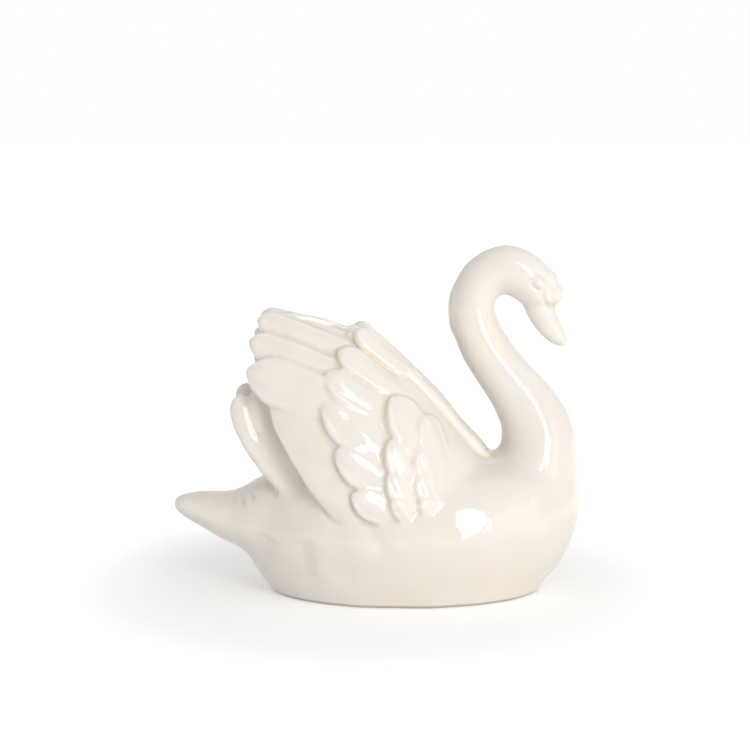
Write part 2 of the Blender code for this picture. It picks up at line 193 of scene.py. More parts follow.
class Clay:
    """Overlapping closed pieces of clay, gathered before they are melted together."""

    def __init__(self, base: bmesh.types.BMesh | None = None) -> None:
        """Starts empty, or with a skin that is already melted."""
        self.mesh = base or bmesh.new()

    def press_on(self, piece: bmesh.types.BMesh, sides: Sides) -> None:
        """Adds one closed piece and frees it.

        Args:
            piece: the piece, modelled on the side of positive y.
            sides: whether its mirror image is added too.
        """
        bmesh.ops.recalc_face_normals(piece, faces=piece.faces)
        for side in sides.value:
            copy = bpy.data.meshes.new("piece")
            piece.to_mesh(copy)
            copy.transform(Matrix.Diagonal((1, side, 1, 1)))
            if side < 0:
                copy.flip_normals()
            self.mesh.from_mesh(copy)
            bpy.data.meshes.remove(copy)
        piece.free()

    def press_rings(self, piece: bmesh.types.BMesh, rings: list[Ring], sides: Sides) -> None:
        """Closes a row of rings into one piece and adds it.

        Args:
            piece: the mesh that holds the rings.
            rings: the closed rings, from end to end.
            sides: whether the mirror image is added too.
        """
        for first, second in zip(rings, rings[1:]):
            bmesh.ops.bridge_loops(piece, edges=ring_edges(first) + ring_edges(second))
        for ring in (rings[0], rings[-1]):
            bmesh.ops.contextual_create(piece, geom=ring)
        self.press_on(piece, sides)


@dataclass(frozen=True)
class Melt:
    """How overlapping pieces become one skin with soft hollows."""

    voxel: float
    passes: int
    factor: float = 0.5

    def skin(self, clay: Clay) -> bmesh.types.BMesh:
        """Melts the clay into one skin.

        Args:
            clay: the gathered pieces, which are freed.

        Returns:
            The skin.
        """
        source = add_object("pieces", finish_mesh("pieces", clay.mesh))
        remesh = source.modifiers.new("skin", "REMESH")
        remesh.mode = "VOXEL"
        remesh.voxel_size = self.voxel
        if self.passes:
            smooth = source.modifiers.new("soften", "SMOOTH")
            smooth.iterations = self.passes
            smooth.factor = self.factor
        mesh = apply_modifiers(source)
        skin = bmesh.new()
        skin.from_mesh(mesh)
        bpy.data.meshes.remove(mesh)
        return skin


# Sub-assemblies of the form


@dataclass
class Hull:
    """The boat-shaped body, as level rings with a longer breast than rump."""

    # Height, reach of the breast, reach of the rump, half width
    levels: Rows = (
        (-0.0015, 0.0388, -0.0248, 0.0196),
        (0.0020, 0.0412, -0.0275, 0.0215),
        (0.0070, 0.0454, -0.0310, 0.0242),
        (0.0130, 0.0483, -0.0332, 0.0263),
        (0.0190, 0.0498, -0.0327, 0.0265),
        (0.0240, 0.0501, -0.0302, 0.0246),
        (0.0280, 0.0495, -0.0260, 0.0215),
        (0.0310, 0.0475, -0.0205, 0.0170),
        (0.0330, 0.0430, -0.0130, 0.0112),
        (0.0338, 0.0360, -0.0060, 0.0050),
    )
    steps: int = 4
    sides: int = 96

    def add_to(self, clay: Clay) -> None:
        """Presses the body onto the clay."""
        piece = bmesh.new()
        rings = []
        for height, breast, rump, half_width in curve_through(self.levels, self.steps):
            centre = Vector(((breast + rump) / 2, 0, height))
            axes = (Vector((1, 0, 0)), Vector((0, 1, 0)))
            halves = ((breast - rump) / 2, half_width)
            rings.append(add_ring(piece, centre, axes, halves, self.sides))
        clay.press_rings(piece, rings, Sides.MIDDLE)


@dataclass
class Limb:
    """A round limb in the plane of symmetry, such as the neck, the tail or the beak."""

    # x, z, half depth in the side view, half width
    stations: Rows
    steps: int = 5
    sides: int = 48

    def add_to(self, clay: Clay) -> None:
        """Presses the limb onto the clay."""
        piece = bmesh.new()
        rows = curve_through(self.stations, self.steps)
        across = Vector((0, 1, 0))
        rings = []
        for i, (x, z, depth, width) in enumerate(rows):
            before = rows[max(i - 1, 0)]
            after = rows[min(i + 1, len(rows) - 1)]
            along = Vector((after[0] - before[0], 0, after[1] - before[1])).normalized()
            axes = (across, across.cross(along))
            rings.append(add_ring(piece, Vector((x, 0, z)), axes, (width, depth), self.sides))
        clay.press_rings(piece, rings, Sides.MIDDLE)


@dataclass
class Neck(Limb):
    """The bent neck and the head at its end."""

    stations: Rows = (
        (0.0330, 0.0150, 0.0150, 0.0165),
        (0.0372, 0.0250, 0.0124, 0.0136),
        (0.0395, 0.0340, 0.0101, 0.0108),
        (0.0385, 0.0415, 0.0087, 0.0088),
        (0.0346, 0.0485, 0.0073, 0.0071),
        (0.0297, 0.0548, 0.0066, 0.0063),
        (0.0256, 0.0612, 0.0063, 0.0060),
        (0.0229, 0.0690, 0.0059, 0.0056),
        (0.0250, 0.0760, 0.0058, 0.0054),
        (0.0306, 0.0793, 0.0060, 0.0053),
        (0.0360, 0.0770, 0.0062, 0.0055),
        (0.0392, 0.0727, 0.0053, 0.0050),
        (0.0398, 0.0697, 0.0041, 0.0039),
    )


@dataclass
class Tail(Limb):
    """The pointed tail behind the body."""

    stations: Rows = (
        (-0.0180, 0.0180, 0.0140, 0.0160),
        (-0.0270, 0.0178, 0.0108, 0.0140),
        (-0.0345, 0.0181, 0.0069, 0.0108),
        (-0.0410, 0.0196, 0.0047, 0.0080),
        (-0.0470, 0.0210, 0.0031, 0.0053),
        (-0.0503, 0.0219, 0.0015, 0.0028),
    )


@dataclass
class Beak(Limb):
    """The beak, from inside the head to its tip."""

    stations: Rows = (
        (0.0385, 0.0715, 0.0035, 0.0035),
        (0.0400, 0.0684, 0.0035, 0.0034),
        (0.0415, 0.0656, 0.0030, 0.0028),
        (0.0435, 0.0630, 0.0024, 0.0025),
        (0.0453, 0.0613, 0.0014, 0.0019),
        (0.0461, 0.0607, 0.0006, 0.0011),
    )


@dataclass(frozen=True)
class Pellet:
    """A round or oval piece of clay, with its centre on the side of positive y."""

    centre: Triple
    halves: Triple
    # How far the long axis dips towards the beak
    slant: float = 0.0
    sides: Sides = Sides.MIDDLE
    subdivisions: int = 4

    def add_to(self, clay: Clay) -> None:
        """Presses the pellet onto the clay."""
        piece = bmesh.new()
        turn = Matrix.Rotation(self.slant, 4, "Y")
        place = Matrix.Translation(Vector(self.centre)) @ turn @ Matrix.Diagonal((*self.halves, 1))
        bmesh.ops.create_icosphere(piece, subdivisions=self.subdivisions, radius=1, matrix=place)
        clay.press_on(piece, self.sides)


@dataclass
class Face:
    """The beak, the knob over it, the forehead and the two eyes."""

    beak: Beak = field(default_factory=Beak)
    knob: Pellet = Pellet((0.0426, 0.0, 0.0730), (0.0029, 0.0029, 0.0029))
    forehead: Pellet = Pellet((0.0400, 0.0, 0.0758), (0.0040, 0.0040, 0.0040))
    eye: Pellet = Pellet(
        (0.0387, 0.0043, 0.0762),
        (0.0020, 0.0013, 0.0013),
        slant=math.radians(52),
        sides=Sides.BOTH,
    )

    def add_to(self, clay: Clay) -> None:
        """Presses the face onto the clay."""
        for piece in (self.beak, self.knob, self.forehead, self.eye):
            piece.add_to(clay)


class WingFace:
    """The curved outer face of a wing, which its plate and its feathers are bent to."""

    # x, y at the flank, y that the face bellies out towards, y and z of the upper edge
    STATIONS: Rows = (
        (-0.0310, 0.0166, 0.0246, 0.0046, 0.0682),
        (-0.0170, 0.0211, 0.0267, 0.0062, 0.0675),
        (-0.0050, 0.0244, 0.0279, 0.0076, 0.0637),
        (0.0080, 0.0250, 0.0272, 0.0080, 0.0548),
        (0.0200, 0.0238, 0.0237, 0.0068, 0.0411),
        (0.0300, 0.0203, 0.0165, 0.0050, 0.0292),
    )
    STEPS = 8
    FOOT_Z = 0.0160
    # The face runs on past the upper edge, to this share of the wing's height
    END = 1.15
    # Half the distance between the places that a slope is measured from
    SLOPE_STEP = 0.0005

    def __init__(self) -> None:
        """Runs a smooth curve through the stations."""
        self.table = [tuple(row) for row in curve_through(self.STATIONS, self.STEPS)]

    def edge(self, x: float) -> Pair:
        """Gives y and z of the upper edge at x."""
        y, z = value_at(self.table, x)[2:]
        return y, z

    def half_width(self, x: float, z: float) -> float:
        """Gives the face's distance from the plane of symmetry at a place in the side view."""
        flank, belly, edge, edge_z = value_at(self.table, x)
        s = min(max((z - self.FOOT_Z) / (edge_z - self.FOOT_Z), 0.0), self.END)
        return flank * (1 - s) ** 2 + 2 * belly * s * (1 - s) + edge * s**2

    def point(self, x: float, z: float) -> Vector:
        """Gives the point of the face at a place in the side view."""
        return Vector((x, self.half_width(x, z), z))

    def normal(self, x: float, z: float) -> Vector:
        """Gives the outward unit normal of the face at a place in the side view."""
        d = self.SLOPE_STEP
        along_x = self.point(x + d, z) - self.point(x - d, z)
        along_z = self.point(x, z + d) - self.point(x, z - d)
        normal = along_x.cross(along_z).normalized()
        return normal if normal.y > 0 else -normal


@dataclass(frozen=True)
class Feather:
    """One feather, by the places of its tip and its root in the side view."""

    tip: Pair
    root: Pair
    half_width: float
    root_share: float = 0.6
    widening: float = 0.6
    tip_rounding: float = 1.6
    tip_most: float = 0.6
    tip_power: float = 0.72

    def width_at(self, t: float, length: float) -> float:
        """Gives its half width at a share of its length, which runs from root to tip."""
        round_part = min(self.half_width * self.tip_rounding / length, self.tip_most)
        widening = math.sin(math.pi / 2 * min(t / self.widening, 1.0))
        width = self.half_width * (self.root_share + (1 - self.root_share) * widening)
        u = max((t - 1 + round_part) / round_part, 0.0)
        return width * (1 - u * u) ** self.tip_power


@dataclass
class FeatherRow:
    """Feathers side by side, which lie over the ends of the row behind them."""

    name: str
    feathers: tuple[Feather, ...]
    lift: float = 0.0005
    stack: float = -0.0001
    tip_rise: float = 0.0010
    lean: float = math.radians(6)
    fullness: float = 0.62
    shaft_height: float = 0.0
    shaft_place: float = 0.0
    shaft_width: float = 0.22
    barbs: int = 3
    barb_height: float = 0.00017
    half_thickness: float = 0.0014
    root_lift: float = -0.0013
    tip_thickness: float = 0.25
    steps: int = 20
    last_ring: float = 0.998
    sides: int = 40

    def add_to(self, clay: Clay, face: WingFace) -> None:
        """Presses the row onto both wings.

        Args:
            clay: the clay that gets it.
            face: the wing's face that the feathers are bent to.
        """
        for number, feather in enumerate(self.feathers):
            self.add_feather_to(clay, face, feather, self.lift + self.stack * number)

    def add_feather_to(self, clay: Clay, face: WingFace, feather: Feather, lift: float) -> None:
        """Presses one feather onto both wings, its tip raised over the next one.

        Args:
            clay: the clay that gets it.
            face: the wing's face that it is bent to.
            feather: its place and size.
            lift: how far its middle stands over the face.
        """
        piece = bmesh.new()
        spine = Vector(feather.tip) - Vector(feather.root)
        across = Vector((spine.y, -spine.x)).normalized()
        rings = []
        for i in range(self.steps + 1):
            t = min(math.sin(math.pi / 2 * i / self.steps), self.last_ring)
            place = Vector(feather.root) + spine * t
            width = feather.width_at(t, spine.length)
            thinning = min(1.0, self.tip_thickness + width / feather.half_width)
            thickness = self.half_thickness * thinning
            rise = lift + self.tip_rise * t + self.root_lift * (1 - t) - self.half_thickness / 2
            ring = bmesh.ops.create_circle(piece, segments=self.sides, radius=1)["verts"]
            for vert in ring:
                aside = width * boxed(vert.co.x, self.fullness)
                x, z = place + across * aside
                shaft = math.exp(-(((vert.co.x - self.shaft_place) / self.shaft_width) ** 2))
                barb = math.cos(math.pi * self.barbs * vert.co.x)
                relief = self.shaft_height * shaft + self.barb_height * barb
                over = rise - aside * math.tan(self.lean) + relief
                height = over + thickness * boxed(vert.co.y, self.fullness)
                vert.co = face.point(x, z) + face.normal(x, z) * height
            rings.append(ring)
        clay.press_rings(piece, rings, Sides.BOTH)


def feathers(rows: Rows) -> tuple[Feather, ...]:
    """Makes feathers from rows of tip x, tip z, root x, root z and half width."""
    return tuple(Feather((a, b), (c, d), half_width) for a, b, c, d, half_width in rows)


def feather_rows() -> list[FeatherRow]:
    """Lays out a wing's rows, from the panel at its rear to the coverts at its shoulder.

    Returns:
        The rows in the order in which they lie over each other.
    """
    panel = ((-0.0225, 0.0578, -0.0015, 0.0192, 0.0090),)
    flight = (
        (-0.0288, 0.0672, -0.0030, 0.0600, 0.0027),
        (-0.0306, 0.0622, -0.0050, 0.0548, 0.0033),
        (-0.0310, 0.0556, -0.0060, 0.0478, 0.0054),
    )
    long_coverts = (
        (-0.0056, 0.0645, 0.0083, 0.0548, 0.0020),
        (-0.0095, 0.0603, 0.0063, 0.0510, 0.0028),
        (-0.0122, 0.0553, 0.0016, 0.0474, 0.0040),
        (-0.0128, 0.0490, 0.0024, 0.0380, 0.0054),
        (-0.0098, 0.0386, 0.0038, 0.0306, 0.0052),
        (-0.0060, 0.0288, 0.0051, 0.0226, 0.0040),
    )
    middle_coverts = (
        (0.0030, 0.0500, 0.0128, 0.0358, 0.0046),
        (0.0026, 0.0407, 0.0104, 0.0290, 0.0042),
        (0.0028, 0.0340, 0.0095, 0.0238, 0.0036),
        (0.0036, 0.0285, 0.0092, 0.0205, 0.0026),
    )
    small_coverts = (
        (0.0106, 0.0456, 0.0166, 0.0330, 0.0036),
        (0.0096, 0.0390, 0.0146, 0.0286, 0.0034),
        (0.0097, 0.0330, 0.0142, 0.0236, 0.0028),
        (0.0103, 0.0282, 0.0142, 0.0210, 0.0020),
    )
    return [
        FeatherRow(
            "panel", feathers(panel), lift=-0.0002, tip_rise=0.0, lean=0.0, barb_height=0.0
        ),
        FeatherRow(
            "flight",
            feathers(flight),
            lift=0.0,
            stack=0.00045,
            lean=-math.radians(6),
            shaft_height=0.0003,
            shaft_place=-0.1,
            barb_height=0.00008,
        ),
        FeatherRow(
            "long_coverts",
            feathers(long_coverts),
            fullness=0.6,
            shaft_height=0.0002,
            shaft_place=0.2,
            barb_height=0.00013,
        ),
        FeatherRow(
            "middle_coverts", feathers(middle_coverts), lift=0.0006, tip_rise=0.0006, fullness=0.65
        ),
        FeatherRow("small_coverts", feathers(small_coverts), tip_rise=0.0003, fullness=0.7),
    ]


@dataclass
class Wing:
    """A raised wing: the plate that carries the feathers, their rows and the rolled upper edge."""

    face: WingFace = field(default_factory=WingFace)
    rows: list[FeatherRow] = field(default_factory=feather_rows)
    # Lower edge of the plate: x, z
    plate_edge: Rows = (
        (-0.0270, 0.0540),
        (-0.0220, 0.0420),
        (-0.0160, 0.0300),
        (-0.0080, 0.0180),
        (0.0270, 0.0180),
    )
    plate_rings: int = 40
    plate_sides: int = 48
    plate_fullness: float = 0.6
    edge_thickness: float = 0.0028
    valley_floor_z: float = 0.0330
    valley_floor_half_width: float = 0.0030
    roll_front_x: float = 0.0270
    roll_rear_x: float = -0.0070
    roll_front_radius: float = 0.0022
    roll_rear_radius: float = 0.0012
    roll_swell: float = 0.12
    roll_swells: float = 3.5
    roll_inset: float = 0.5
    roll_rings: int = 45
    roll_sides: int = 24

    def inner_half_width(self, x: float, z: float) -> float:
        """Gives the inner face's distance from the plane of symmetry, wider towards the top."""
        edge, edge_z = self.face.edge(x)
        height = max(edge_z - self.valley_floor_z, self.valley_floor_half_width)
        rise = min(max((z - self.valley_floor_z) / height, 0.0), 1.0)
        top = edge - self.edge_thickness
        return self.valley_floor_half_width + (top - self.valley_floor_half_width) * rise

    def add_plate_to(self, clay: Clay) -> None:
        """Presses both wings' plates onto the clay, as rings bent to the wing's face."""
        piece = bmesh.new()
        rear, front = self.plate_edge[0][0], self.plate_edge[-1][0]
        rings = []
        for i in range(self.plate_rings + 1):
            x = front + (rear - front) * i / self.plate_rings
            top = self.face.edge(x)[1]
            bottom = value_at(self.plate_edge, x)[0]
            ring = bmesh.ops.create_circle(piece, segments=self.plate_sides, radius=1)["verts"]
            for vert in ring:
                up = boxed(vert.co.y, self.plate_fullness)
                z = (top + bottom) / 2 + (top - bottom) / 2 * up
                outer = self.face.half_width(x, z)
                inner = min(self.inner_half_width(x, z), outer - self.edge_thickness / 2)
                out = boxed(vert.co.x, self.plate_fullness)
                vert.co = Vector((x, (outer + inner) / 2 + (outer - inner) / 2 * out, z))
            rings.append(ring)
        clay.press_rings(piece, rings, Sides.BOTH)

    def add_rolls_to(self, clay: Clay) -> None:
        """Presses the rounded upper edges, which the feathers start under, onto both wings."""
        piece = bmesh.new()
        across = Vector((0, 1, 0))
        d = self.face.SLOPE_STEP
        rings = []
        for i in range(self.roll_rings + 1):
            share = i / self.roll_rings
            x = self.roll_front_x + (self.roll_rear_x - self.roll_front_x) * share
            thinning = (self.roll_rear_radius - self.roll_front_radius) * share
            swell = 1 + self.roll_swell * math.sin(2 * math.pi * self.roll_swells * share)
            radius = (self.roll_front_radius + thinning) * swell
            y, z = self.face.edge(x)
            climb = self.face.edge(x - d)[1] - self.face.edge(x + d)[1]
            along = Vector((-2 * d, 0, climb)).normalized()
            inset = radius * self.roll_inset
            centre = Vector((x, y - inset, z - inset))
            axes = (across, across.cross(along))
            rings.append(add_ring(piece, centre, axes, (radius, radius), self.roll_sides))
        clay.press_rings(piece, rings, Sides.BOTH)

    def add_feathers_to(self, clay: Clay) -> None:
        """Presses all rows of feathers onto both wings."""
        for row in self.rows:
            row.add_to(clay, self.face)
            LOG.info("%s: %d feathers on each wing", row.name, len(row.feathers))


@dataclass
class InnerFeathers:
    """The folded feathers between the wings, side by side along one curve."""

    # Tip, bends and root as x, y, z
    path: Rows = (
        (-0.0318, 0.0085, 0.0500),
        (-0.0331, 0.0090, 0.0468),
        (-0.0311, 0.0100, 0.0402),
        (-0.0260, 0.0112, 0.0320),
        (-0.0183, 0.0120, 0.0250),
        (-0.0125, 0.0115, 0.0215),
    )
    count: int = 3
    step: Triple = (0.0042, -0.0004, 0.0006)
    half_width: float = 0.0026
    half_thickness: float = 0.0018
    steps: int = 6
    sides: int = 24
    tip_share: float = 0.05
    tip_rounding: float = 1.5

    def add_to(self, clay: Clay) -> None:
        """Presses the folded feathers onto both sides of the back."""
        across = Vector((0, 1, 0))
        for number in range(self.count):
            shift = Vector(self.step) * number
            rows = [row + shift for row in curve_through(self.path, self.steps)]
            piece = bmesh.new()
            rings = []
            for i, centre in enumerate(rows):
                along = (rows[max(i - 1, 0)] - rows[min(i + 1, len(rows) - 1)]).normalized()
                side = (across - along * across.dot(along)).normalized()
                from_tip = (centre - rows[0]).length / (self.half_width * self.tip_rounding)
                share = math.sqrt(min(1.0, self.tip_share + from_tip))
                axes = (side, side.cross(along))
                halves = (self.half_thickness * share, self.half_width * share)
                rings.append(add_ring(piece, centre, axes, halves, self.sides))
            clay.press_rings(piece, rings, Sides.BOTH)


@dataclass(frozen=True)
class CarvedLine:
    """A groove cut into the skin of both sides, by its places in the side view."""

    path: Rows
    width: float
    depth: float
    steps: int = 6
    widths_reached: float = 3.0
    least_outward: float = 0.1
    end_depth: float = 0.1
    fade_rate: float = 4.0

    def nearest(self, points: list[Vector], place: Vector) -> Pair:
        """Measures a place against the line.

        Args:
            points: the points that the line runs through.
            place: the place in the side view.

        Returns:
            The distance, and the share of the line's length at the nearest point.
        """
        best = (math.inf, 0.0)
        for i, (start, end) in enumerate(zip(points, points[1:])):
            run = end - start
            t = min(max((place - start).dot(run) / run.length_squared, 0.0), 1.0)
            distance = (place - start - run * t).length
            if distance < best[0]:
                best = (distance, (i + t) / (len(points) - 1))
        return best

    def cut(self, skin: bmesh.types.BMesh) -> None:
        """Moves the skin near the line inwards, fading out at both ends of the line."""
        points = curve_through(self.path, self.steps)
        reach = self.width * self.widths_reached
        low = [min(point[i] for point in points) - reach for i in range(2)]
        high = [max(point[i] for point in points) + reach for i in range(2)]
        moves = []
        for vert in skin.verts:
            x, y, z = vert.co
            outward = vert.normal.y * math.copysign(1.0, y)
            near = low[0] < x < high[0] and low[1] < z < high[1]
            if not near or outward < self.least_outward:
                continue
            distance, share = self.nearest(points, Vector((x, z)))
            fade = smooth_step(min(share, 1 - share) * self.fade_rate + self.end_depth)
            amount = math.exp(-((distance / self.width) ** 2))
            moves.append((vert, vert.normal * -(self.depth * amount * fade * outward)))
        for vert, move in moves:
            vert.co += move


@dataclass
class Swan:
    """The whole figurine, from the clay to the marked skin that the glaze goes on."""

    name: str = "glazed_swan"
    hull: Hull = field(default_factory=Hull)
    neck: Neck = field(default_factory=Neck)
    tail: Tail = field(default_factory=Tail)
    face: Face = field(default_factory=Face)
    wing: Wing = field(default_factory=Wing)
    inner_feathers: InnerFeathers = field(default_factory=InnerFeathers)
    trunk_melt: Melt = Melt(voxel=0.00065, passes=0)
    full_melt: Melt = Melt(voxel=0.0004, passes=5)
    most_triangles: int = 192000
    trunk_passes: int = 39
    smooth_factor: float = 0.5
    soft_front_x: float = 0.0180
    soft_low_z: float = 0.0240
    soft_high_z: float = 0.0400
    foot_z: float = 0.0
    foot_wipe_depth: float = 0.0004
    foot_wipe_height: float = 0.0008
    cut_tolerance: float = 1e-7
    sharp_angle: float = math.radians(70)
    # Depth and length of each kind of wave
    hand_waves: Rows = ((0.00032, 0.0100), (0.00018, 0.0055), (0.00005, 0.0028))
    neck_share: float = 0.2
    neck_low_z: float = 0.0300
    neck_high_z: float = 0.0450

    def softness(self, place: Vector) -> float:
        """Gives 1 where the wing flows into the body, down to 0 on the raised part of the wing."""
        if place.x >= self.soft_front_x:
            return 1.0
        rise = (place.z - self.soft_low_z) / (self.soft_high_z - self.soft_low_z)
        return 1.0 - min(max(rise, 0.0), 1.0)

    def smooth(self, skin: bmesh.types.BMesh, passes: int, hold: Callable[[Vector], float]) -> None:
        """Softens the skin, less where it is held less.

        Args:
            skin: the melted mesh.
            passes: how often the softest parts are smoothed.
            hold: gives how soft a place is, from 0 to 1.
        """
        shares = [(vert, hold(vert.co)) for vert in skin.verts]
        for number in range(passes):
            soft = [vert for vert, share in shares if share > number / passes]
            bmesh.ops.smooth_vert(
                skin,
                verts=soft,
                factor=self.smooth_factor,
                use_axis_x=True,
                use_axis_y=True,
                use_axis_z=True,
            )

    def trunk(self) -> bmesh.types.BMesh:
        """Melts body, neck, tail and the plates of the wings into one flowing mass.

        Returns:
            The softened skin.
        """
        clay = Clay()
        self.hull.add_to(clay)
        self.neck.add_to(clay)
        self.tail.add_to(clay)
        self.wing.add_plate_to(clay)
        self.inner_feathers.add_to(clay)
        skin = self.trunk_melt.skin(clay)
        self.smooth(skin, self.trunk_passes, self.softness)
        return skin

    def form(self) -> bmesh.types.BMesh:
        """Adds the face and the feathers to the trunk and melts all of it together.

        Returns:
            The skin of the whole figurine, still open to carving.
        """
        clay = Clay(self.trunk())
        self.face.add_to(clay)
        self.wing.add_rolls_to(clay)
        self.wing.add_feathers_to(clay)
        skin = self.full_melt.skin(clay)
        self.keep_outer(skin)
        return skin

    def keep_outer(self, skin: bmesh.types.BMesh) -> None:
        """Drops the walls of air pockets that the melted pieces closed in."""
        groups = []
        left = set(skin.verts)
        while left:
            stack = [left.pop()]
            group = []
            while stack:
                vert = stack.pop()
                group.append(vert)
                others = {edge.other_vert(vert) for edge in vert.link_edges} & left
                left -= others
                stack.extend(others)
            groups.append(group)
        groups.sort(key=len)
        for group in groups[:-1]:
            bmesh.ops.delete(skin, geom=group, context="VERTS")

    def shape_by_hand(self, skin: bmesh.types.BMesh) -> None:
        """Makes the skin slightly uneven, as if modelled by hand, with less of it on the neck."""
        for vert in skin.verts:
            waves = [noise.noise(vert.co / length) * depth for depth, length in self.hand_waves]
            rise = (vert.co.z - self.neck_low_z) / (self.neck_high_z - self.neck_low_z)
            on_neck = smooth_step(rise) if vert.co.x > self.soft_front_x else 0.0
            vert.co += vert.normal * (sum(waves) * (1 - (1 - self.neck_share) * on_neck))

    def cut_foot(self, skin: bmesh.types.BMesh) -> None:
        """Cuts the foot flat, where the figurine stands."""
        bmesh.ops.bisect_plane(
            skin,
            geom=skin.verts[:] + skin.edges[:] + skin.faces[:],
            dist=self.cut_tolerance,
            plane_co=(0, 0, self.foot_z),
            plane_no=(0, 0, -1),
            clear_outer=True,
        )
        rim = [edge for edge in skin.edges if edge.is_boundary]
        foot = bmesh.ops.contextual_create(skin, geom=rim)["faces"]
        bmesh.ops.triangulate(skin, faces=foot)

    def wipe_foot(self, skin: bmesh.types.BMesh) -> None:
        """Draws the rim of the foot in a little, where the wet glaze was wiped off."""
        skin.normal_update()
        for vert in skin.verts:
            rest = 1 - (vert.co.z - self.foot_z) / self.foot_wipe_height
            if rest > 0:
                aside = Vector((vert.normal.x, vert.normal.y, 0)).normalized()
                vert.co -= aside * (self.foot_wipe_depth * rest**2)

    def build(self, lines: Iterable[CarvedLine]) -> bpy.types.Object:
        """Builds the figurine.

        Args:
            lines: the lines to carve into its skin.

        Returns:
            The finished object, at the origin.
        """
        skin = self.form()
        LOG.info("form: %d faces", len(skin.faces))
        self.shape_by_hand(skin)
        for line in lines:
            line.cut(skin)
            skin.normal_update()
        self.cut_foot(skin)
        self.wipe_foot(skin)
        middle = (max(v.co.x for v in skin.verts) + min(v.co.x for v in skin.verts)) / 2
        bmesh.ops.translate(skin, verts=skin.verts, vec=(-middle, 0, 0))
        mesh = self.thin_out(finish_mesh("fine_skin", skin))
        mesh.name = self.name
        mesh.shade_smooth()
        mesh.set_sharp_from_angle(angle=self.sharp_angle)
        return add_object(self.name, mesh)

    def thin_out(self, mesh: bpy.types.Mesh) -> bpy.types.Mesh:
        """Collapses the triangles of flat places until few enough are left.

        Args:
            mesh: the fine skin, which is removed.

        Returns:
            The lighter mesh.
        """
        source = add_object("fine_skin", mesh)
        decimate = source.modifiers.new("thin_out", "DECIMATE")
        decimate.ratio = self.most_triangles / sum(len(face.vertices) - 2 for face in mesh.polygons)
        decimate.use_collapse_triangulate = True
        return apply_modifiers(source)


def carved_lines() -> list[CarvedLine]:
    """Lists the fine lines on body, tail, head and neck.

    Returns:
        The lines, each as seen from the side.
    """
    # Path as x and z, width, depth
    body = (
        (
            ((-0.0048, 0.0252), (-0.0022, 0.0215), (-0.0004, 0.0179), (0.0017, 0.0131)),
            0.0021,
            0.0004,
        ),
        (((-0.0132, 0.0124), (-0.0088, 0.0097), (-0.0044, 0.0085)), 0.0025, 0.0004),
        (((-0.0182, 0.0180), (-0.0172, 0.0110), (-0.0154, 0.0055)), 0.0026, 0.0007),
        (((-0.0256, 0.0167), (-0.0271, 0.0131), (-0.0276, 0.0095)), 0.0022, 0.0005),
    )
    tail = (
        (((-0.0340, 0.0265), (-0.0320, 0.0222)), 0.0006, 0.0006),
        (((-0.0324, 0.0275), (-0.0294, 0.0238)), 0.0006, 0.0007),
        (((-0.0358, 0.0253), (-0.0347, 0.0230)), 0.0006, 0.0005),
        (((-0.0267, 0.0275), (-0.0236, 0.0256)), 0.0010, 0.0006),
    )
    head = (
        (((0.0404, 0.0752), (0.0401, 0.0725), (0.0413, 0.0706), (0.0435, 0.0700)), 0.00045, 0.0004),
        (((0.0394, 0.0674), (0.0414, 0.0648), (0.0433, 0.0628)), 0.00035, 0.00012),
        (((0.0374, 0.0784), (0.0395, 0.0779), (0.0408, 0.0762)), 0.00045, 0.00025),
        (((0.0368, 0.0765), (0.0377, 0.0750), (0.0393, 0.0742)), 0.00045, 0.00025),
    )
    neck = ((((0.0251, 0.0306), (0.0288, 0.0291), (0.0324, 0.0286)), 0.0012, 0.0003),)
    return [CarvedLine(*line) for group in (body, tail, head, neck) for line in group]


@dataclass
class BendMarks:
    """Marks the hollows and the ridges of a skin in an attribute that the glaze reads, to paint
    shade and pooled glaze into the hollows and light and thinner glaze onto the ridges.
    """

    attribute: str = "bend_of_skin"
    spread_passes: int = 3
    full_bend: float = 260.0
    flat_value: float = 0.5
    least_reach: float = 1e-12

    def mark(self, piece: bpy.types.Object) -> None:
        """Writes the bend of the skin at each vertex, 0.5 where flat and 1 in sharp hollows."""
        skin = bmesh.new()
        skin.from_mesh(piece.data)
        skin.normal_update()
        bends = []
        for vert in skin.verts:
            others = [edge.other_vert(vert).co for edge in vert.link_edges]
            middle = sum(others, Vector()) / len(others)
            reach = sum((other - vert.co).length_squared for other in others) / len(others)
            bends.append((middle - vert.co).dot(vert.normal) / max(reach, self.least_reach))
        skin.verts.ensure_lookup_table()
        neighbours = [[e.other_vert(v).index for e in v.link_edges] for v in skin.verts]
        for _ in range(self.spread_passes):
            bends = [
                (bends[i] + sum(bends[j] for j in near)) / (1 + len(near))
                for i, near in enumerate(neighbours)
            ]
        skin.free()
        marks = piece.data.attributes.new(self.attribute, "FLOAT", "POINT")
        for i, bend in enumerate(bends):
            value = self.flat_value + self.flat_value * bend / self.full_bend
            marks.data[i].value = min(max(value, 0.0), 1.0)


# Finishes


